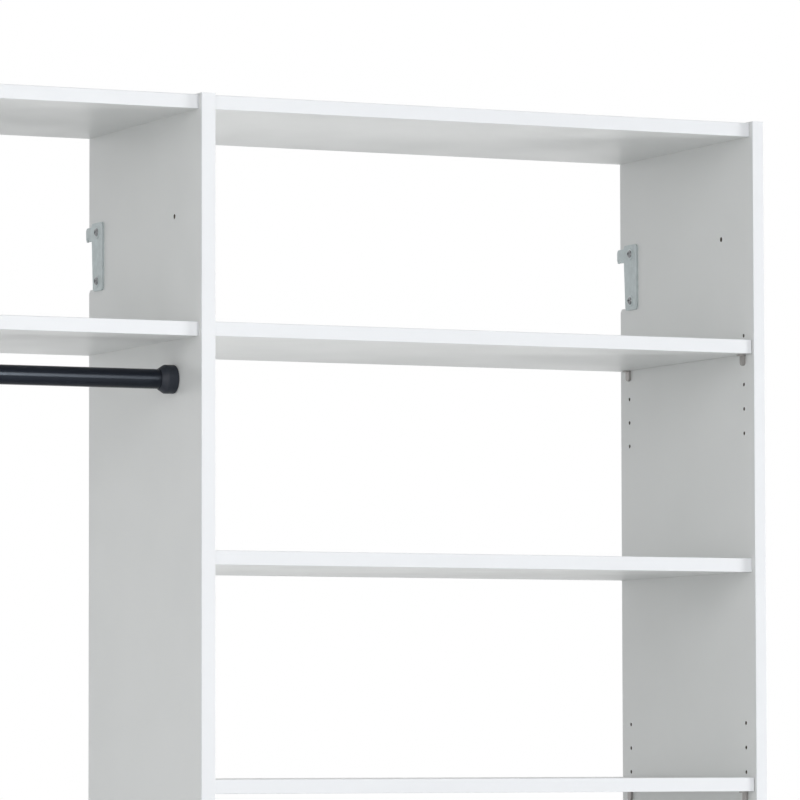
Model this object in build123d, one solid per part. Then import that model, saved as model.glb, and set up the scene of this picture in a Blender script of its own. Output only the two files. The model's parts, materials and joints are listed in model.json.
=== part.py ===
from build123d import *
import os

# Wall mounted closet system: a hanging bay on the left and a shelf tower on the right.
# Millimetres, +Z up, +X to the right seen from the room, +Y towards the wall.
# The origin is in the middle of the shared upright, on the plane of the panels' back
# edges, at the height where the hanger hooks sit on the wall rail.

# Carcass
panel_height = 1829.0
panel_depth = 381.0
shared_panel_thickness = 19.0
end_panel_thickness = 16.0
left_clear_width = 610.0
right_clear_width = 762.0
seat_below_panel_top = 151.0

# Shelves
shelf_thickness = 18.0
top_shelf_drop = 1.5
bottom_shelf_rise = 98.3
fixed_shelf_setback = 9.0
adjustable_shelf_setback = 5.0
adjustable_back_gap = 2.0
adjustable_end_gap = 1.0
adjustable_rest_gap = 0.2
band_thickness = 1.0
band_edge_radius = 0.8
shelf_end_gap = 0.1
corner_relief_radius = 1.0

# Shelf support holes
pin_hole_diameter = 5.0
pin_hole_depth = 10.0
pin_hole_pitch = 32.0
front_column_from_edge = 28.0
back_column_from_edge = 25.0
pin_centre_below_shelf = 7.0
spare_rows_count = 3
locating_rows_count = 1

# Shelf supports
pin_fit = 0.05
pin_reach = 8.0
support_width = 10.0
support_height = 14.4
support_web = 3.4
support_flange = 1.8
support_flange_reach = 9.0
support_corner_radius = 2.5

# Hanger brackets
bracket_thickness = 2.5
bracket_front_from_back = 52.0
bracket_back_at_top = 15.0
bracket_back_at_bottom = 19.0
bracket_rise = 18.0
bracket_fall = 71.0
bracket_corner_radius = 5.0
bracket_step_radius = 4.0
hook_rise = 13.5
hook_past_panel = 5.0
hook_nose_radius = 5.0
hook_nose_taper = 2.2
hook_tip_radius = 1.0
hook_slot_width = 5.0
hook_slot_height = 5.0
screw_seat_diameter = 17.0
screw_seat_rise = 0.9
screw_spacing = 64.0
upper_screw_rise = 5.5
screw_from_back = 34.0

# Notch for the wall rail
notch_depth = 20.0
notch_rise = 6.0
notch_fall = 68.0
notch_corner_radius = 6.0
notch_mouth_chamfer = 4.0

# Wood screws
screw_shank_diameter = 4.0
screw_bite = 11.0
screw_head_diameter = 11.0
screw_head_height = 2.4
screw_recess_width = 1.8
screw_recess_span = 6.4
screw_recess_depth = 2.0
screw_hole_fit = 0.05

# Spare rod holes
spare_hole_diameter = 6.5
spare_hole_depth = 11.0
spare_hole_below_top = 148.0
rod_from_front = 89.0

# Cam locks
cam_diameter = 15.0
cam_height = 12.0
cam_fit = 0.1
cam_from_shelf_end = 24.0
cam_cavity_width = 7.6
cam_cavity_rise = 3.8
cam_neck_width = 5.4
cam_slot_width = 1.6
cam_slot_span = 9.0
cam_slot_depth = 2.5
bolt_sides = 8
bolt_bite = 9.0
bolt_head_diameter = 6.8
bolt_head_length = 2.6
bolt_bore_diameter = 8.0

# Hanging rod
rod_diameter = 25.0
rod_wall = 1.2
rod_outer_length = 380.0
rod_lap_length = 180.0
rod_slide_fit = 0.1
rod_below_shelf = 49.5
sleeve_length = 40.0
sleeve_fit = 0.05
mouth_ring_length = 12.0
mouth_ring_wall = 0.9
mouth_ring_lip = 1.0

# Rod cups
cup_diameter = 36.5
cup_straight_length = 14.0
cup_length = 21.5
cup_rim_diameter = 27.0
cup_floor = 5.0
cup_bore_fit = 0.1
cup_shoulder_radius = 4.0
cup_foot_radius = 2.0
cup_screw_head_diameter = 9.0
cup_screw_head_height = 3.0
cup_screw_recess_width = 1.3
cup_screw_recess_span = 5.0
cup_screw_recess_depth = 1.2
set_screw_diameter = 4.0
set_screw_gap = 0.3
set_screw_from_panel = 9.5
rod_end_gap = 0.3

# One overrun for every cut
overrun = 2.0

# Share of a radius at half a quarter turn
diagonal_share = 0.5 ** 0.5

# Places worked out from the sizes above
panel_top = seat_below_panel_top
panel_bottom = panel_top - panel_height
panel_front = -panel_depth
shared_left_face = -shared_panel_thickness / 2
shared_right_face = shared_panel_thickness / 2
left_inner_face = shared_left_face - left_clear_width
left_outer_face = left_inner_face - end_panel_thickness
right_inner_face = shared_right_face + right_clear_width
right_outer_face = right_inner_face + end_panel_thickness
front_column = panel_front + front_column_from_edge
back_column = -back_column_from_edge
top_underside = panel_top - top_shelf_drop - shelf_thickness
rod_centre_y = panel_front + rod_from_front
columns = (front_column, back_column)

# The right bay's shelves from the top down, one spacing apart
right_order = (
    "right_top_shelf",
    "adjustable_shelf_upper",
    "right_upper_fixed_shelf",
    "adjustable_shelf_middle",
    "right_lower_fixed_shelf",
    "adjustable_shelf_lower",
    "right_bottom_shelf",
)
bottom_underside = panel_bottom + bottom_shelf_rise
shelf_spacing = (top_underside - bottom_underside) / (len(right_order) - 1)
underside = {name: top_underside - level * shelf_spacing for level, name in enumerate(right_order)}
right_fixed = {name: low for name, low in underside.items() if name.startswith("right")}

# The left bay's shelves line up with shelves of the right bay
left_fixed = {
    "left_top_shelf": underside["right_top_shelf"],
    "left_rod_shelf": underside["adjustable_shelf_upper"],
    "left_bottom_shelf": underside["right_bottom_shelf"],
}
rod_centre_z = left_fixed["left_rod_shelf"] - rod_below_shelf

# Rows of support holes below and above the row that holds an adjustable shelf's pins
adjustable_rows = {
    "upper": (spare_rows_count, locating_rows_count),
    "middle": (locating_rows_count, spare_rows_count),
    "lower": (spare_rows_count, locating_rows_count),
}


def block(x_span, y_span, z_span):
    """A box between two values on each axis."""
    low = [min(span) for span in (x_span, y_span, z_span)]
    high = [max(span) for span in (x_span, y_span, z_span)]
    size = [b - a for a, b in zip(low, high)]
    return Pos(*low) * Box(*size, align=(Align.MIN, Align.MIN, Align.MIN))


def rod_along_x(x_start, x_end, y, z, radius):
    """A round bar along X between two values of x."""
    length = abs(x_end - x_start)
    middle = (x_start + x_end) / 2
    return Pos(middle, y, z) * Rot(0, 90, 0) * Cylinder(radius, length)


def upright_bar(x, y, z_low, z_high, radius):
    """A round bar along Z between two heights."""
    return Pos(x, y, (z_low + z_high) / 2) * Cylinder(radius, z_high - z_low)


def turned_along_x(outline, x, y, z, way):
    """Turn an outline of (distance from the face, radius) about a line along X."""
    points = [(distance, radius) for distance, radius in outline]
    face = make_face(Polyline(points, close=True))
    body = revolve(face, Axis.X)
    if way < 0:
        body = mirror(body, about=Plane.YZ)
    return Pos(x, y, z) * body


def save(name, shape):
    """Write one node; a list of solids becomes one group."""
    solids = shape if isinstance(shape, list) else [shape]
    group = Compound(children=[part for item in solids for part in item.solids()])
    export_step(group, os.path.join("parts", name + ".step"))


# Side panels


def rail_notch(x_low, x_high):
    """The cut in a panel's back edge that clears the wall rail."""
    cut = block(
        (x_low - overrun, x_high + overrun),
        (-notch_depth, overrun),
        (-notch_fall, notch_rise),
    )
    inner = cut.edges().filter_by(Axis.X).group_by(Axis.Y)[0]
    cut = fillet(inner, notch_corner_radius)
    wedge_points = [
        (-notch_mouth_chamfer, -notch_fall + overrun),
        (-notch_mouth_chamfer, -notch_fall),
        (0, -notch_fall - notch_mouth_chamfer),
        (overrun, -notch_fall - notch_mouth_chamfer),
        (overrun, -notch_fall + overrun),
    ]
    face = Plane.YZ * make_face(Polyline(wedge_points, close=True))
    wedge = extrude(face, x_high - x_low + 2 * overrun)
    return cut + Pos(x_low - overrun, 0, 0) * wedge


def bite(face_x, way, y, z, diameter, depth):
    """A blind hole drilled into a panel from the face at face_x."""
    return rod_along_x(face_x - way * overrun, face_x + way * depth, y, z, diameter / 2)


def pin_rows(name):
    """Heights of the support holes round one adjustable shelf."""
    pin_height = underside["adjustable_shelf_" + name] - pin_centre_below_shelf
    below, above = adjustable_rows[name]
    return [pin_height + row * pin_hole_pitch for row in range(-below, above + 1)]


def pin_hole_cuts(face_x, way):
    """All shelf support holes in one face."""
    cuts = []
    for name in adjustable_rows:
        for height in pin_rows(name):
            for y in columns:
                cuts.append(bite(face_x, way, y, height, pin_hole_diameter, pin_hole_depth))
    return cuts


def joint_cuts(face_x, way, undersides):
    """Holes for the cam bolts of fixed shelves in one face."""
    cuts = []
    for low in undersides:
        height = low + shelf_thickness / 2
        for y in columns:
            cuts.append(bite(face_x, way, y, height, pin_hole_diameter, bolt_bite))
    return cuts


def hanger_cuts(face_x, way):
    """Pilot holes for the two screws of a hanger bracket."""
    diameter = screw_shank_diameter + 2 * screw_hole_fit
    heights = (upper_screw_rise, upper_screw_rise - screw_spacing)
    depth = screw_bite + overrun
    return [bite(face_x, way, -screw_from_back, z, diameter, depth) for z in heights]


def spare_hole_cut(face_x, way):
    """The spare rod hole between the top two shelves."""
    height = panel_top - spare_hole_below_top
    return bite(face_x, way, rod_centre_y, height, spare_hole_diameter, spare_hole_depth)


def cup_screw_cut(face_x, way):
    """Pilot hole for the screw of a rod cup."""
    diameter = screw_shank_diameter + 2 * screw_hole_fit
    return bite(face_x, way, rod_centre_y, rod_centre_z, diameter, screw_bite + overrun)


def panel_board(x_low, x_high, cuts):
    """One side panel without its front edge band."""
    board = block(
        (x_low, x_high),
        (panel_front + band_thickness, 0),
        (panel_bottom, panel_top),
    )
    return board - [rail_notch(x_low, x_high)] - cuts


def make_panels():
    """The three upright panels."""
    left_cuts = joint_cuts(left_inner_face, -1, left_fixed.values())
    left_cuts += hanger_cuts(left_inner_face, -1)
    left_cuts += [spare_hole_cut(left_inner_face, -1), cup_screw_cut(left_inner_face, -1)]
    save("left_end_panel", panel_board(left_outer_face, left_inner_face, left_cuts))

    shared_cuts = joint_cuts(shared_left_face, 1, left_fixed.values())
    shared_cuts += joint_cuts(shared_right_face, -1, right_fixed.values())
    shared_cuts += pin_hole_cuts(shared_right_face, -1)
    shared_cuts += hanger_cuts(shared_left_face, 1)
    shared_cuts += [spare_hole_cut(shared_left_face, 1), cup_screw_cut(shared_left_face, 1)]
    save("shared_upright", panel_board(shared_left_face, shared_right_face, shared_cuts))

    right_cuts = joint_cuts(right_inner_face, 1, right_fixed.values())
    right_cuts += pin_hole_cuts(right_inner_face, 1)
    right_cuts += hanger_cuts(right_inner_face, 1)
    right_cuts += [spare_hole_cut(right_inner_face, 1)]
    save("right_end_panel", panel_board(right_inner_face, right_outer_face, right_cuts))


def edge_band(x_span, z_span, front_y):
    """A strip of edge band with rounded long edges; the longer side is its length."""
    strip = block(x_span, (front_y, front_y + band_thickness), z_span)
    along = Axis.X if abs(x_span[1] - x_span[0]) > abs(z_span[1] - z_span[0]) else Axis.Z
    front_edges = strip.edges().filter_by(along).group_by(Axis.Y)[0]
    return fillet(front_edges, band_edge_radius)


def make_panel_bands():
    """The edge bands on the fronts of the three panels."""
    spans = (
        (left_outer_face, left_inner_face),
        (shared_left_face, shared_right_face),
        (right_inner_face, right_outer_face),
    )
    save(
        "panel_edge_bands",
        [edge_band(span, (panel_bottom, panel_top), panel_front) for span in spans],
    )


# Fixed shelves with their cam locks


def cam_places(x_low, x_high):
    """Each cam as (x, y, way towards its panel)."""
    ends = ((x_low, -1), (x_high, 1))
    return [(end_x - way * cam_from_shelf_end, y, way) for end_x, way in ends for y in columns]


def shelf_span(left_side):
    """The run of a shelf between the faces of its bay."""
    low, high = (
        (left_inner_face, shared_left_face) if left_side else (shared_right_face, right_inner_face)
    )
    return low + shelf_end_gap, high - shelf_end_gap


def fixed_shelf(x_span, low):
    """A fixed shelf with its cam pockets and bolt bores."""
    x_low, x_high = x_span
    top = low + shelf_thickness
    middle = low + shelf_thickness / 2
    front = panel_front + fixed_shelf_setback + band_thickness
    board = block((x_low, x_high), (front, 0), (low, top))
    cuts = []
    pocket_floor = top - cam_height - cam_fit
    for cam_x, y, way in cam_places(x_low, x_high):
        cuts.append(upright_bar(cam_x, y, pocket_floor, top + overrun, cam_diameter / 2 + cam_fit))
        bore_end = cam_x + way * (cam_from_shelf_end + overrun)
        cuts.append(rod_along_x(cam_x, bore_end, y, middle, bolt_bore_diameter / 2))
    return board - cuts


def cam_housing(cam_x, y, way, low):
    """A cam barrel: a driver slot above, a cavity for the bolt's head and a narrower neck."""
    top = low + shelf_thickness
    middle = low + shelf_thickness / 2
    barrel = upright_bar(cam_x, y, top - cam_height, top, cam_diameter / 2)
    half_cavity = cam_cavity_width / 2
    half_neck = cam_neck_width / 2
    inner_z = (middle - cam_cavity_rise, middle + cam_cavity_rise)
    cavity_x = (cam_x - half_cavity, cam_x + half_cavity)
    cavity = block(cavity_x, (y - half_cavity, y + half_cavity), inner_z)
    neck = block((cam_x, cam_x + way * cam_diameter), (y - half_neck, y + half_neck), inner_z)
    half_slot = cam_slot_width / 2
    half_span = cam_slot_span / 2
    slot_z = (top - cam_slot_depth, top + overrun)
    slot = block((cam_x - half_span, cam_x + half_span), (y - half_slot, y + half_slot), slot_z)
    return barrel - [cavity, neck, slot]


def bolt_length(x_start, x_end, y, z, radius):
    """One many-sided length of a cam bolt, along X between two values of x."""
    face = Plane.YZ * RegularPolygon(radius, bolt_sides)
    return Pos(min(x_start, x_end), y, z) * extrude(face, abs(x_end - x_start))


def cam_bolt(cam_x, y, way, low):
    """A headed bolt, eight-sided, fixed in the panel and trapped in the cam's cavity."""
    middle = low + shelf_thickness / 2
    panel_face = cam_x + way * (cam_from_shelf_end + shelf_end_gap)
    head_base = cam_x + way * cam_cavity_width / 2
    bolt_radius = pin_hole_diameter / 2 - pin_fit
    thread_end = panel_face + way * (bolt_bite - pin_fit)
    shank = bolt_length(head_base, thread_end, y, middle, bolt_radius)
    head_tip = head_base - way * bolt_head_length
    head = bolt_length(head_tip, head_base, y, middle, bolt_head_diameter / 2)
    return shank + head


def make_fixed_shelves():
    """The fixed shelves, their edge bands, cams and bolts."""
    bands, cams, bolts = [], [], []
    for group, left_side in ((left_fixed, True), (right_fixed, False)):
        x_span = shelf_span(left_side)
        for name, low in group.items():
            save(name, fixed_shelf(x_span, low))
            z_span = (low, low + shelf_thickness)
            bands.append(edge_band(x_span, z_span, panel_front + fixed_shelf_setback))
            for cam_x, y, way in cam_places(*x_span):
                cams.append(cam_housing(cam_x, y, way, low))
                bolts.append(cam_bolt(cam_x, y, way, low))
    save("fixed_shelf_edge_bands", bands)
    save("cam_housings", cams)
    save("cam_bolts", bolts)


# Adjustable shelves and their supports


def shelf_support(face_x, way, y, pin_z):
    """An L-shaped support: a pin in the panel, a web on its face and a flange above."""
    top = pin_z + pin_centre_below_shelf
    half = support_width / 2
    web_foot = top - support_height + half
    web = block((face_x, face_x + way * support_web), (y - half, y + half), (web_foot, top))
    foot = rod_along_x(face_x, face_x + way * support_web, y, web_foot, half)
    flange = block(
        (face_x, face_x + way * support_flange_reach),
        (y - half, y + half),
        (top - support_flange, top),
    )
    side = Axis.X.direction * way
    tips = flange.edges().filter_by(Axis.Z).sort_by(Axis(flange.center(), side))[-2:]
    flange = fillet(tips, support_corner_radius)
    pin = rod_along_x(
        face_x + way * support_web / 2,
        face_x - way * pin_reach,
        y,
        pin_z,
        pin_hole_diameter / 2 - pin_fit,
    )
    return web + [foot, flange, pin]


def adjustable_shelf(low):
    """The board of an adjustable shelf."""
    x_low = shared_right_face + adjustable_end_gap
    x_high = right_inner_face - adjustable_end_gap
    front = panel_front + adjustable_shelf_setback + band_thickness
    back = -adjustable_back_gap
    board = block((x_low, x_high), (front, back), (low, low + shelf_thickness))
    back_corners = board.edges().filter_by(Axis.Z).group_by(Axis.Y)[-1]
    board = fillet(back_corners, corner_relief_radius)
    band = edge_band(
        (x_low, x_high),
        (low, low + shelf_thickness),
        panel_front + adjustable_shelf_setback,
    )
    return board, band


def make_adjustable_shelves():
    """The three adjustable shelves with four supports each."""
    for name in adjustable_rows:
        low = underside["adjustable_shelf_" + name]
        board, band = adjustable_shelf(low + adjustable_rest_gap)
        save("adjustable_shelf_" + name, board)
        save("adjustable_band_" + name, band)
        pin_z = low - pin_centre_below_shelf
        supports = []
        for face_x, way in ((shared_right_face, 1), (right_inner_face, -1)):
            for y in columns:
                supports.append(shelf_support(face_x, way, y, pin_z))
        save("shelf_supports_" + name, supports)


# Hanger brackets and their screws


def hanger_bracket(face_x, way):
    """A hook plate on a panel face; way points from the face into the bay."""
    lower_edge = -hook_slot_height
    plate_points = [
        (-bracket_front_from_back, bracket_rise),
        (-bracket_front_from_back, -bracket_fall),
        (-bracket_back_at_bottom, -bracket_fall),
        (-bracket_back_at_top, lower_edge),
        (-bracket_back_at_top, bracket_rise),
    ]
    hook_points = [
        (-bracket_back_at_top - bracket_corner_radius, lower_edge),
        (hook_past_panel - hook_nose_taper, lower_edge),
        (hook_past_panel, lower_edge + hook_slot_height),
        (hook_past_panel, hook_rise),
        (-bracket_back_at_top - bracket_corner_radius, hook_rise),
    ]
    plate = extrude(Plane.YZ * make_face(Polyline(plate_points, close=True)), bracket_thickness)
    hook = extrude(Plane.YZ * make_face(Polyline(hook_points, close=True)), bracket_thickness)
    plate_edges = plate.edges().filter_by(Axis.X)
    front_corners = plate_edges.group_by(Axis.Y)[0]
    foot_corner = plate_edges.group_by(Axis.Z)[0].sort_by(Axis.Y)[-1]
    plate = fillet([*front_corners, foot_corner], bracket_corner_radius)
    step_corner = plate.edges().filter_by(Axis.X).group_by(Axis.Z)[-1].sort_by(Axis.Y)[-1]
    plate = fillet(step_corner, bracket_step_radius)
    nose = hook.edges().filter_by(Axis.X).group_by(Axis.Z)[-1].sort_by(Axis.Y)[-1]
    hook = fillet(nose, hook_nose_radius)
    tip = hook.edges().filter_by(Axis.X).group_by(Axis.Z)[0].sort_by(Axis.Y)[-1]
    hook = fillet(tip, hook_tip_radius)
    slot = block(
        (-overrun, bracket_thickness + overrun),
        (-hook_slot_width, 0),
        (lower_edge - overrun, 0),
    )
    body = plate + hook - slot
    for height in (upper_screw_rise, upper_screw_rise - screw_spacing):
        seat_top = bracket_thickness + screw_seat_rise
        seat = rod_along_x(0, seat_top, -screw_from_back, height, screw_seat_diameter / 2)
        rim = seat.edges().sort_by(Axis.X)[-1]
        body += chamfer(rim, screw_seat_rise)
    for height in (upper_screw_rise, upper_screw_rise - screw_spacing):
        radius = screw_shank_diameter / 2 + screw_hole_fit
        reach = bracket_thickness + screw_seat_rise + overrun
        body -= rod_along_x(-overrun, reach, -screw_from_back, height, radius)
    if way < 0:
        body = mirror(body, about=Plane.YZ)
    return Pos(face_x, 0, 0) * body


def dome_screw(seat_x, way, y, z, bite_depth):
    """A domed wood screw with a cross recess; its head stands on seat_x."""
    head_radius = screw_head_diameter / 2
    shank_radius = screw_shank_diameter / 2
    shoulder = Polyline(
        (0, head_radius),
        (0, shank_radius),
        (-bite_depth, shank_radius),
        (-bite_depth - shank_radius, 0),
        (screw_head_height, 0),
    )
    dome = ThreePointArc(
        (screw_head_height, 0),
        (screw_head_height * diagonal_share, head_radius * diagonal_share),
        (0, head_radius),
    )
    body = revolve(make_face([shoulder, dome]), Axis.X)
    half_width = screw_recess_width / 2
    half_span = screw_recess_span / 2
    depth_span = (screw_head_height - screw_recess_depth, screw_head_height + overrun)
    upright_slot = block(depth_span, (-half_width, half_width), (-half_span, half_span))
    level_slot = block(depth_span, (-half_span, half_span), (-half_width, half_width))
    body = body - [upright_slot, level_slot]
    if way < 0:
        body = mirror(body, about=Plane.YZ)
    return Pos(seat_x, y, z) * body


def make_hangers():
    """The three hook plates and their six screws."""
    faces = {
        "left": (left_inner_face, 1),
        "middle": (shared_left_face, -1),
        "right": (right_inner_face, -1),
    }
    screws = []
    stack = bracket_thickness + screw_seat_rise
    for name, (face_x, way) in faces.items():
        save("hanger_bracket_" + name, hanger_bracket(face_x, way))
        for height in (upper_screw_rise, upper_screw_rise - screw_spacing):
            seat_x = face_x + way * stack
            depth = stack + screw_bite - overrun
            screws.append(dome_screw(seat_x, way, -screw_from_back, height, depth))
    save("hanger_screws", screws)


# Telescopic hanging rod


def wide_ring(body, least_radius, pick):
    """Of the circles wider than a radius, the one nearest to the panel (min) or furthest (max)."""
    rings = body.edges().filter_by(GeomType.CIRCLE)
    wide = [ring for ring in rings if ring.radius > least_radius]
    return pick(wide, key=lambda ring: abs(ring.center().X))


def rod_cup(face_x, way):
    """A flared cup on a panel face that holds one end of the rod."""
    radius = cup_diameter / 2
    rim = cup_rim_diameter / 2
    bore = rod_diameter / 2 + cup_bore_fit
    hole = screw_shank_diameter / 2 + screw_hole_fit
    sink = cup_screw_head_diameter / 2
    outline = [
        (0, hole),
        (0, radius),
        (cup_straight_length, radius),
        (cup_length, rim),
        (cup_length, bore),
        (cup_floor, bore),
        (cup_floor, sink),
        (cup_floor - cup_screw_head_height, hole),
    ]
    body = turned_along_x(outline, 0, 0, 0, way)
    body = fillet([wide_ring(body, rim, max)], cup_shoulder_radius)
    body = fillet([wide_ring(body, rim, min)], cup_foot_radius)
    set_x = way * set_screw_from_panel
    body -= upright_bar(set_x, 0, -radius - overrun, 0, set_screw_diameter / 2)
    return Pos(face_x, rod_centre_y, rod_centre_z) * body


def cup_screw(face_x, way):
    """The countersunk screw that holds a cup to its panel."""
    head = cup_screw_head_diameter / 2 - screw_hole_fit
    shank = screw_shank_diameter / 2
    neck = cup_floor - cup_screw_head_height
    outline = [
        (-screw_bite, 0),
        (-screw_bite + shank, shank),
        (neck + screw_hole_fit, shank),
        (cup_floor, head),
        (cup_floor, 0),
    ]
    body = turned_along_x(outline, face_x, rod_centre_y, rod_centre_z, way)
    half_width = cup_screw_recess_width / 2
    half_span = cup_screw_recess_span / 2
    floor_x = face_x + way * (cup_floor - cup_screw_recess_depth)
    open_x = face_x + way * (cup_floor + overrun)
    y_spans = (
        (rod_centre_y - half_width, rod_centre_y + half_width),
        (rod_centre_y - half_span, rod_centre_y + half_span),
    )
    z_spans = (
        (rod_centre_z - half_span, rod_centre_z + half_span),
        (rod_centre_z - half_width, rod_centre_z + half_width),
    )
    slots = [block((floor_x, open_x), y, z) for y, z in zip(y_spans, z_spans)]
    return body - slots


def set_screw(face_x, way):
    """The headless screw in the underside of a cup."""
    x = face_x + way * set_screw_from_panel
    tip = rod_centre_z - rod_diameter / 2 - set_screw_gap
    low = rod_centre_z - cup_diameter / 2 + set_screw_gap
    return upright_bar(x, rod_centre_y, low, tip, set_screw_diameter / 2 - screw_hole_fit)


def tube(x_start, x_end, outer_radius, inner_radius):
    """A length of tube on the rod's centre line."""
    outside = rod_along_x(x_start, x_end, rod_centre_y, rod_centre_z, outer_radius)
    way = 1 if x_end > x_start else -1
    bore = rod_along_x(
        x_start - way * overrun,
        x_end + way * overrun,
        rod_centre_y,
        rod_centre_z,
        inner_radius,
    )
    return outside - bore


def make_rod():
    """Cups, outer tube, inner tube and the rod's plastic pieces."""
    cups = {"right": (shared_left_face, -1), "left": (left_inner_face, 1)}
    for name, (face_x, way) in cups.items():
        save("rod_cup_" + name, rod_cup(face_x, way))
    save("rod_cup_screws", [cup_screw(*place) for place in cups.values()])
    save("rod_set_screws", [set_screw(*place) for place in cups.values()])

    outer_radius = rod_diameter / 2
    outer_bore = outer_radius - rod_wall
    outer_end = shared_left_face - cup_floor - rod_end_gap
    outer_mouth = outer_end - rod_outer_length
    save("rod_outer_tube", tube(outer_mouth, outer_end, outer_radius, outer_bore))

    inner_radius = outer_bore - rod_slide_fit
    inner_start = left_inner_face + cup_floor + rod_end_gap
    inner_end = outer_mouth + rod_lap_length
    save("rod_inner_tube", tube(inner_start, inner_end, inner_radius, inner_radius - rod_wall))
    sleeve_end = inner_start + sleeve_length
    sleeve_bore = inner_radius + sleeve_fit
    save("rod_end_sleeve", tube(inner_start, sleeve_end, outer_radius, sleeve_bore))

    ring_start = outer_mouth - mouth_ring_lip
    ring_radius = outer_radius + mouth_ring_wall
    ring = tube(ring_start, ring_start + mouth_ring_length, ring_radius, outer_radius + sleeve_fit)
    lip = tube(ring_start, outer_mouth - sleeve_fit, ring_radius, outer_bore)
    save("rod_mouth_ring", ring + lip)


os.makedirs("parts", exist_ok=True)
make_panels()
make_panel_bands()
make_fixed_shelves()
make_adjustable_shelves()
make_hangers()
make_rod()
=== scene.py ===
import json
import math

import bpy
from mathutils import Matrix, Vector


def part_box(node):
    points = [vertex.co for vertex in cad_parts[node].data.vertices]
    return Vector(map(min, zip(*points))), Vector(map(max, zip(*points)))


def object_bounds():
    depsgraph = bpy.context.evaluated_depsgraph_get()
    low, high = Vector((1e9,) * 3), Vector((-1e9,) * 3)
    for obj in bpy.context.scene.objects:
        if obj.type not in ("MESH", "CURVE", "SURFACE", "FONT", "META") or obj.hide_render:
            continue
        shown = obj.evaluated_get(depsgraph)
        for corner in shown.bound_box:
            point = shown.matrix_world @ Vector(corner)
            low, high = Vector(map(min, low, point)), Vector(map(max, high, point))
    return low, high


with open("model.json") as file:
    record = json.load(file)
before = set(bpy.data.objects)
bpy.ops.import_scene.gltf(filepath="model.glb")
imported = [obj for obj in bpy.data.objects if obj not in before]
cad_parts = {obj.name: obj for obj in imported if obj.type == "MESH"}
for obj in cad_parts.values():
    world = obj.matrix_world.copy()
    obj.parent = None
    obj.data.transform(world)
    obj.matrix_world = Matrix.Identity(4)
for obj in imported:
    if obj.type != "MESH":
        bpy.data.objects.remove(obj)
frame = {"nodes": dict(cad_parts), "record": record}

# Closet system hung on a wall: white boards, zinc hook plates and a black hanging rod.
# Everything is in metres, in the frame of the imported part.

cad_low, cad_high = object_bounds()
nodes = frame["nodes"]
MM = 0.001


# Camera, at the photograph's angle

PHOTO_WIDTH = 800
FOCAL_PIXELS = 5500
SENSOR_MM = 36.0
CAMERA_PLACE = Vector((-2.649, -6.688, -0.679))
CAMERA_YAW = math.radians(24.78)
CAMERA_PITCH = math.radians(3.718)
CAMERA_ROLL = math.radians(-0.122)


def make_camera():
    """The photograph's camera: a long lens just above the height of the tower's fourth shelf."""
    data = bpy.data.cameras.new("camera")
    data.sensor_width = SENSOR_MM
    data.lens = FOCAL_PIXELS * SENSOR_MM / PHOTO_WIDTH
    camera = bpy.data.objects.new("camera", data)
    bpy.context.scene.collection.objects.link(camera)
    forward = Vector((math.sin(CAMERA_YAW), math.cos(CAMERA_YAW), 0)) * math.cos(CAMERA_PITCH)
    forward.z = math.sin(CAMERA_PITCH)
    right = Vector((math.cos(CAMERA_YAW), -math.sin(CAMERA_YAW), 0))
    up = right.cross(forward)
    rolled_right = right * math.cos(CAMERA_ROLL) + up * math.sin(CAMERA_ROLL)
    rolled_up = up * math.cos(CAMERA_ROLL) - right * math.sin(CAMERA_ROLL)
    turn = Matrix((rolled_right, rolled_up, -forward)).transposed()
    camera.matrix_world = Matrix.Translation(CAMERA_PLACE) @ turn.to_4x4()
    bpy.context.scene.camera = camera


# Node helpers for materials, with the places of the Mix node's colour sockets

MIX_FIRST = 6
MIX_SECOND = 7
MIX_RESULT = 2


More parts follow.
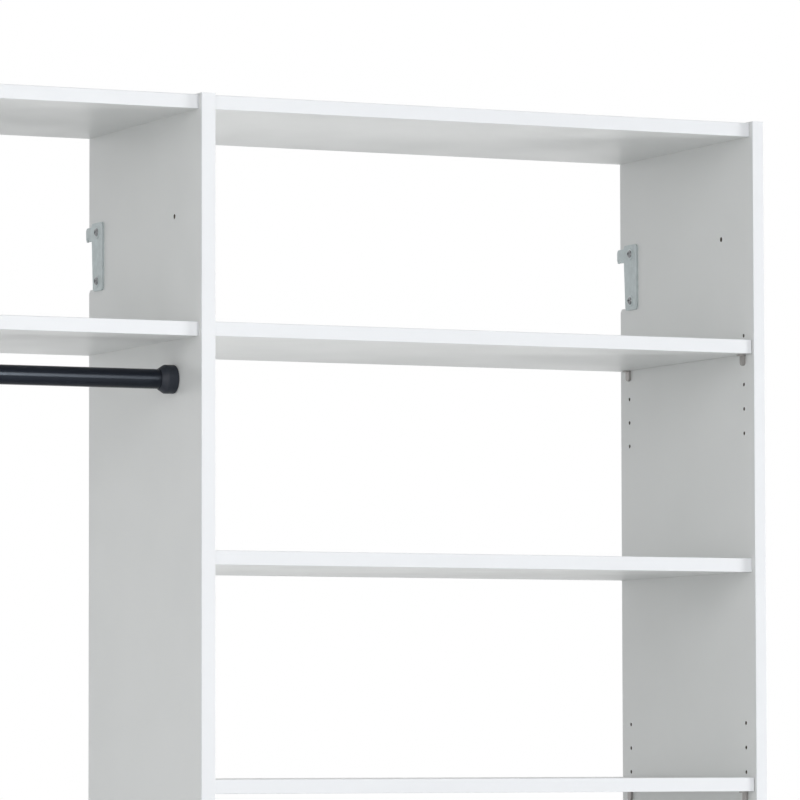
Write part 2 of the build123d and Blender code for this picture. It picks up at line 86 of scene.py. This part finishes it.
class Shader:
    """A small builder for node materials that work in object coordinates, in metres."""

    def __init__(self, name):
        self.material = bpy.data.materials.new(name)
        self.material.use_nodes = True
        self.tree = self.material.node_tree
        self.bsdf = self.tree.nodes["Principled BSDF"]
        self.place = self.add("ShaderNodeTexCoord").outputs["Object"]

    def add(self, kind, **values):
        """A new node, with its own settings."""
        node = self.tree.nodes.new(kind)
        for key, value in values.items():
            setattr(node, key, value)
        return node

    def put(self, value, slot):
        """Give a socket a number or a colour, or link another socket to it."""
        if isinstance(value, tuple):
            slot.default_value = (*value, 1)
        elif isinstance(value, (int, float)):
            slot.default_value = value
        else:
            self.tree.links.new(value, slot)

    def axes(self):
        """X, Y and Z of the point, as three sockets."""
        split = self.add("ShaderNodeSeparateXYZ")
        self.put(self.place, split.inputs[0])
        return split.outputs

    def noise(self, size, detail=2, finer=(1, 1, 1)):
        """Noise with features of about size metres, so many times finer along X, Y and Z."""
        mapping = self.add("ShaderNodeMapping")
        mapping.inputs["Scale"].default_value = finer
        self.put(self.place, mapping.inputs["Vector"])
        noise = self.add("ShaderNodeTexNoise")
        noise.inputs["Scale"].default_value = 1 / size
        noise.inputs["Detail"].default_value = detail
        self.put(mapping.outputs["Vector"], noise.inputs["Vector"])
        return noise.outputs["Fac"]

    def cells(self, size):
        """Cell texture with cells of about size metres."""
        cells = self.add("ShaderNodeTexVoronoi")
        cells.inputs["Scale"].default_value = 1 / size
        self.put(self.place, cells.inputs["Vector"])
        return cells

    def spread(self, value, ends, results=(0, 1)):
        """Map value from the two ends to the two results, clamped."""
        node = self.add("ShaderNodeMapRange")
        node.inputs["From Min"].default_value, node.inputs["From Max"].default_value = ends
        node.inputs["To Min"].default_value, node.inputs["To Max"].default_value = results
        self.put(value, node.inputs["Value"])
        return node.outputs["Result"]

    def math(self, operation, first, second):
        """One sum on two sockets or numbers."""
        node = self.add("ShaderNodeMath", operation=operation)
        self.put(first, node.inputs[0])
        self.put(second, node.inputs[1])
        return node.outputs[0]

    def mix(self, factor, first, second):
        """Blend two colours, each an (r, g, b) or a socket."""
        node = self.add("ShaderNodeMix", data_type="RGBA")
        self.put(factor, node.inputs["Factor"])
        self.put(first, node.inputs[MIX_FIRST])
        self.put(second, node.inputs[MIX_SECOND])
        return node.outputs[MIX_RESULT]

    def mix_shaders(self, factor, first, second):
        """Blend two shaders."""
        node = self.add("ShaderNodeMixShader")
        for value, slot in zip((factor, first, second), node.inputs):
            self.put(value, slot)
        return node.outputs[0]

    def bump(self, height, depth, strength, under=None):
        """Bump of the given depth in metres, on top of another bump if one is given."""
        node = self.add("ShaderNodeBump")
        node.inputs["Strength"].default_value = strength
        node.inputs["Distance"].default_value = depth
        self.put(height, node.inputs["Height"])
        if under is not None:
            self.put(under, node.inputs["Normal"])
        return node.outputs["Normal"]

    def finish(self, **values):
        """Give the shader's sockets numbers, colours or other sockets."""
        for key, value in values.items():
            self.put(value, self.bsdf.inputs[key.replace("_", " ")])
        return self.material


# Noise keeps near the middle of its range, so each finish spreads out one of these parts of it.

WIDE = (0.3, 0.7)
MIDDLE = (0.35, 0.65)
UPPER = (0.4, 0.7)
PATCHES = (0.35, 0.7)
SPECKS = (0.45, 0.75)


# Boards: white melamine on chipboard

BOARD_WHITE = (0.80, 0.81, 0.802)
BOARD_SHADE = (0.788, 0.799, 0.791)
BOARD_CLOUD = 0.22
BOARD_WIPE = 0.09
BOARD_ROUGHNESS = (0.36, 0.46)
BOARD_SKIN = 0.35 * MM
PEBBLE_SIZE = 0.7 * MM
PEBBLE_DEPTH = 0.02 * MM
PEBBLE_STRENGTH = 0.5
CHIP_SIZE = 1.6 * MM
CHIP_DEPTH = 0.3 * MM
CHIP_STRENGTH = 1.0
CORE_EXTRA_ROUGHNESS = 0.5
# Bores: the chip core darkened as painted shade, standing in for the shade deep inside the holes.
BORE_PAINTED_SHADE_LIGHT = (0.22, 0.195, 0.165)
BORE_PAINTED_SHADE_DARK = (0.11, 0.09, 0.075)
NOTCH_LIGHT = (0.47, 0.37, 0.26)
NOTCH_DARK = (0.30, 0.22, 0.145)
NOTCH_STRIP = 22 * MM


def inside_mask(shader, low, high):
    """1 where a point lies deeper than the skin inside the box low..high, 0 on the box's faces."""
    mask = None
    for place, start, end in zip(shader.axes(), low, high):
        for limit, sign in ((start, 1), (end, -1)):
            depth = shader.math("MULTIPLY", shader.math("SUBTRACT", place, limit), sign)
            deep = shader.math("GREATER_THAN", depth, BOARD_SKIN)
            mask = deep if mask is None else shader.math("MULTIPLY", mask, deep)
    return mask


def board_material(name, low, high):
    """White melamine with a fine pebble; the notch shows the chip core, the bores the core darkened as
    painted shade.
    """
    shader = Shader(name)
    cut = inside_mask(shader, low, high)
    cloud = shader.spread(shader.noise(BOARD_CLOUD, detail=3), MIDDLE)
    white = shader.mix(cloud, BOARD_SHADE, BOARD_WHITE)
    chips = shader.cells(CHIP_SIZE)
    grey = shader.add("ShaderNodeSeparateColor")
    shader.put(chips.outputs["Color"], grey.inputs[0])
    # Painted shade: the bores get the core's colour darkened, for the shade inside them.
    bore_painted_shade = shader.mix(grey.outputs[0], BORE_PAINTED_SHADE_DARK, BORE_PAINTED_SHADE_LIGHT)
    notch = shader.mix(grey.outputs[0], NOTCH_DARK, NOTCH_LIGHT)
    near_back = shader.math("GREATER_THAN", shader.axes()["Y"], high.y - NOTCH_STRIP)
    # The core is the real chip colour in the notch, and painted shade in the bores.
    core = shader.mix(near_back, bore_painted_shade, notch)
    wipe = shader.spread(shader.noise(BOARD_WIPE, detail=4), UPPER, BOARD_ROUGHNESS)
    rough = shader.math("ADD", shader.math("MULTIPLY", cut, CORE_EXTRA_ROUGHNESS), wipe)
    pebble = shader.bump(shader.noise(PEBBLE_SIZE), PEBBLE_DEPTH, PEBBLE_STRENGTH)
    chip_height = shader.math("MULTIPLY", chips.outputs["Distance"], cut)
    normal = shader.bump(chip_height, CHIP_DEPTH, CHIP_STRENGTH, pebble)
    return shader.finish(Base_Color=shader.mix(cut, white, core), Roughness=rough, Normal=normal)


# Edge bands, a little glossier than the boards

BAND_WHITE = (0.79, 0.805, 0.825)
BAND_DARK_SHARE = 0.99
BAND_SHADE = tuple(BAND_DARK_SHARE * part for part in BAND_WHITE)
BAND_CLOUD = 0.15
BAND_WIPE = 0.03
BAND_ROUGHNESS = (0.31, 0.35)
BAND_GRAIN = 0.5 * MM
BAND_GRAIN_DEPTH = 0.01 * MM
BAND_GRAIN_STRENGTH = 0.4


def band_material():
    """White plastic edge band."""
    shader = Shader("edge_band")
    cloud = shader.spread(shader.noise(BAND_CLOUD), MIDDLE)
    colour = shader.mix(cloud, BAND_SHADE, BAND_WHITE)
    rough = shader.spread(shader.noise(BAND_WIPE, detail=4), WIDE, BAND_ROUGHNESS)
    normal = shader.bump(shader.noise(BAND_GRAIN), BAND_GRAIN_DEPTH, BAND_GRAIN_STRENGTH)
    return shader.finish(Base_Color=colour, Roughness=rough, Normal=normal)


# Plated steel: hook plates, screws, shelf supports and cams

ZINC_PATCH = 9 * MM
ZINC_DARK_SHARE = 0.86
SCRATCH_SIZE = 0.5 * MM
SCRATCH_DEPTH = 0.01 * MM
SCRATCH_STRENGTH = 0.4
SCRATCH_SMOOTHER = 0.07
SCRATCH_ROUGHER = 0.08
EVEN = (1, 1, 1)
BRUSHED_ACROSS = (1, 1, 6)


def zinc_material(name, colour, roughness, metallic=1.0, finer=EVEN):
    """Plated steel with a faint patchy sheen and fine scratches."""
    shader = Shader(name)
    patches = shader.spread(shader.noise(ZINC_PATCH, detail=4), PATCHES)
    tint = shader.mix(patches, tuple(ZINC_DARK_SHARE * part for part in colour), colour)
    scratches = shader.noise(SCRATCH_SIZE, detail=3, finer=finer)
    ends = (roughness - SCRATCH_SMOOTHER, roughness + SCRATCH_ROUGHER)
    rough = shader.spread(scratches, WIDE, ends)
    normal = shader.bump(scratches, SCRATCH_DEPTH, SCRATCH_STRENGTH)
    return shader.finish(Base_Color=tint, Metallic=metallic, Roughness=rough, Normal=normal)


# Rod: black powder coat

ROD_BLACK = (0.003, 0.004, 0.009)
ROD_DUSTY = (0.006, 0.008, 0.014)
ROD_DUST = 0.02
ROD_CLOUD = 6 * MM
ROD_ROUGHNESS = (0.17, 0.22)
ROD_SPECULAR = 0.36
ROD_TINT = (0.78, 0.88, 1.0)
PEEL_SIZE = 0.8 * MM
PEEL_DEPTH = 0.02 * MM
PEEL_STRENGTH = 0.5


def black_metal_material():
    """Black powder coat with a fine orange peel."""
    shader = Shader("rod_black")
    dust = shader.spread(shader.noise(ROD_DUST, detail=5), SPECKS)
    rough = shader.spread(shader.noise(ROD_CLOUD, detail=3), WIDE, ROD_ROUGHNESS)
    normal = shader.bump(shader.noise(PEEL_SIZE), PEEL_DEPTH, PEEL_STRENGTH)
    shader.finish(Specular_IOR_Level=ROD_SPECULAR, Specular_Tint=ROD_TINT)
    return shader.finish(Base_Color=shader.mix(dust, ROD_BLACK, ROD_DUSTY), Roughness=rough, Normal=normal)


# Cups: black moulded plastic

CUP_BLACK = (0.009, 0.013, 0.023)
CUP_GREY = (0.015, 0.020, 0.033)
CUP_TONE = 0.01
CUP_CLOUD = 4 * MM
CUP_ROUGHNESS = (0.46, 0.58)
SPARK_SIZE = 0.45 * MM
SPARK_DEPTH = 0.03 * MM
SPARK_STRENGTH = 0.5


def black_plastic_material():
    """Black moulded plastic with spark-eroded grain."""
    shader = Shader("cup_black")
    colour = shader.mix(shader.noise(CUP_TONE, detail=3), CUP_BLACK, CUP_GREY)
    rough = shader.spread(shader.noise(CUP_CLOUD, detail=3), WIDE, CUP_ROUGHNESS)
    grain = shader.cells(SPARK_SIZE)
    normal = shader.bump(grain.outputs["Distance"], SPARK_DEPTH, SPARK_STRENGTH)
    return shader.finish(Base_Color=colour, Roughness=rough, Normal=normal)


# Each node's material, by its slot in the record

PLATE_COLOUR = (0.62, 0.69, 0.70)
PLATE_ROUGHNESS = 0.42
PLATE_METALLIC = 0.1
# Screws: zinc, darkened with painted shade standing in for the shade in their drive recesses.
SCREW_PAINTED_SHADE_COLOUR = (0.33, 0.34, 0.35)
SCREW_ROUGHNESS = 0.30
SUPPORT_COLOUR = (0.43, 0.41, 0.40)
SUPPORT_ROUGHNESS = 0.34
SUPPORT_METALLIC = 0.5
CAM_COLOUR = (0.50, 0.50, 0.50)
CAM_ROUGHNESS = 0.42


def dress(node, material):
    """Give a CAD node one material in all its slots."""
    data = nodes[node].data
    if not data.materials:
        data.materials.append(material)
    for index in range(len(data.materials)):
        data.materials[index] = material


def dress_all():
    """Dress every node; each board has a material of its own, because its core lies inside its box."""
    finish = {
        "edge_band": band_material(),
        "bracket_steel": zinc_material(
            "bracket_zinc", PLATE_COLOUR, PLATE_ROUGHNESS, PLATE_METALLIC, BRUSHED_ACROSS
        ),
        # Screw zinc darkened with painted shade for their recesses.
        "screw_steel": zinc_material("screw_zinc_painted_shade", SCREW_PAINTED_SHADE_COLOUR, SCREW_ROUGHNESS),
        "support_metal": zinc_material(
            "support_nickel", SUPPORT_COLOUR, SUPPORT_ROUGHNESS, SUPPORT_METALLIC
        ),
        "cam_metal": zinc_material("cam_zinc", CAM_COLOUR, CAM_ROUGHNESS),
        "rod_black": black_metal_material(),
        "cup_black": black_plastic_material(),
    }
    for part in frame["record"]["subparts"]:
        name = part["node"]
        if part["material_slot"] == "board":
            dress(name, board_material("board_" + name, *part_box(name)))
        else:
            dress(name, finish[part["material_slot"]])


# Floor

FLOOR_BELOW = 0.305
FLOOR_SIZE = 14.0
FLOOR_FADE = (1.3, 3.2)
FLOOR_CLOUD = 0.5
FLOOR_DARK = (0.80, 0.80, 0.80)
FLOOR_LIGHT = (0.84, 0.84, 0.84)
FLOOR_ROUGHNESS = 0.8


def seen_directly(tree):
    """1 for what the camera sees by itself, in a mirror or through glass."""
    path = tree.nodes.new("ShaderNodeLightPath")
    total = path.outputs["Is Camera Ray"]
    for ray in ("Is Glossy Ray", "Is Transmission Ray"):
        either = tree.nodes.new("ShaderNodeMath")
        either.operation = "MAXIMUM"
        tree.links.new(total, either.inputs[0])
        tree.links.new(path.outputs[ray], either.inputs[1])
        total = either.outputs[0]
    return total


def floor_material(centre):
    """Plain pale floor that turns into the white background far from the closet, clear from below."""
    shader = Shader("floor")
    cloud = shader.spread(shader.noise(FLOOR_CLOUD, detail=3), WIDE)
    shader.finish(Base_Color=shader.mix(cloud, FLOOR_DARK, FLOOR_LIGHT), Roughness=FLOOR_ROUGHNESS)
    distance = shader.add("ShaderNodeVectorMath", operation="DISTANCE")
    distance.inputs[1].default_value = centre
    shader.put(shader.place, distance.inputs[0])
    far = shader.spread(distance.outputs["Value"], FLOOR_FADE)
    fade = shader.math("MULTIPLY", far, seen_directly(shader.tree))
    white = shader.add("ShaderNodeEmission").outputs[0]
    above = shader.mix_shaders(fade, shader.bsdf.outputs[0], white)
    from_below = shader.add("ShaderNodeNewGeometry").outputs["Backfacing"]
    clear = shader.add("ShaderNodeBsdfTransparent").outputs[0]
    surface = shader.mix_shaders(from_below, above, clear)
    shader.put(surface, shader.tree.nodes["Material Output"].inputs["Surface"])
    return shader.material


def make_floor():
    """A plain pale floor under the hung closet."""
    half = FLOOR_SIZE / 2
    z = cad_low.z - FLOOR_BELOW
    mesh = bpy.data.meshes.new("floor")
    corners = [(-half, -half, z), (half, -half, z), (half, half, z), (-half, half, z)]
    mesh.from_pydata(corners, [], [(0, 1, 2, 3)])
    floor = bpy.data.objects.new("floor", mesh)
    bpy.context.scene.collection.objects.link(floor)
    mesh.materials.append(floor_material((0, 0, z)))


# Light: a pale sky and soft boxes, each so many degrees to the right of the closet's front

TOWER_MIDDLE = Vector((0.3, -0.2, -0.3))
ROD_MIDDLE = Vector((-0.17, -0.3, -0.2))
SKY_TINT = (0.97, 0.985, 1.0, 1)
SKY_LIGHT = 0.48
WHITE = (1, 1, 1, 1)


def make_lamp(name, target, degrees, distance, height, size, power):
    """A soft box at a height and distance that looks at a target."""
    data = bpy.data.lights.new(name, "AREA")
    data.shape = "RECTANGLE"
    data.size, data.size_y = size
    data.energy = power
    lamp = bpy.data.objects.new(name, data)
    bpy.context.scene.collection.objects.link(lamp)
    turn = math.radians(degrees)
    x = target.x + distance * math.sin(turn)
    y = target.y - distance * math.cos(turn)
    lamp.location = (x, y, height)
    lamp.rotation_euler = (target - Vector((x, y, height))).to_track_quat("-Z", "Y").to_euler()


def make_lamps():
    """Front and left light the faces, low and behind the undersides, strip the rod's highlight."""
    make_lamp("front", TOWER_MIDDLE, degrees=-35, distance=5.0, height=1.4, size=(2.0, 2.0), power=24)
    make_lamp("low", TOWER_MIDDLE, degrees=60, distance=6.0, height=-1.45, size=(1.8, 0.9), power=152)
    make_lamp("left", TOWER_MIDDLE, degrees=-50, distance=4.5, height=-0.3, size=(2.0, 2.4), power=20)
    make_lamp("behind", TOWER_MIDDLE, degrees=128, distance=3.6, height=-1.8, size=(1.6, 0.3), power=18)
    make_lamp("strip", ROD_MIDDLE, degrees=18.5, distance=4.8, height=0.3, size=(0.4, 2.6), power=42)


def make_world():
    """White to the camera and in reflections, plain grey as light."""
    world = bpy.data.worlds.new("studio")
    bpy.context.scene.world = world
    world.use_nodes = True
    tree = world.node_tree
    tree.nodes.clear()
    light = tree.nodes.new("ShaderNodeBackground")
    light.inputs["Color"].default_value = SKY_TINT
    light.inputs["Strength"].default_value = SKY_LIGHT
    white = tree.nodes.new("ShaderNodeBackground")
    white.inputs["Color"].default_value = WHITE
    mix = tree.nodes.new("ShaderNodeMixShader")
    tree.links.new(seen_directly(tree), mix.inputs["Fac"])
    tree.links.new(light.outputs[0], mix.inputs[1])
    tree.links.new(white.outputs[0], mix.inputs[2])
    output = tree.nodes.new("ShaderNodeOutputWorld")
    tree.links.new(mix.outputs[0], output.inputs["Surface"])


make_camera()
dress_all()
make_floor()
make_world()
make_lamps()
bpy.context.scene.view_settings.view_transform = "Standard"
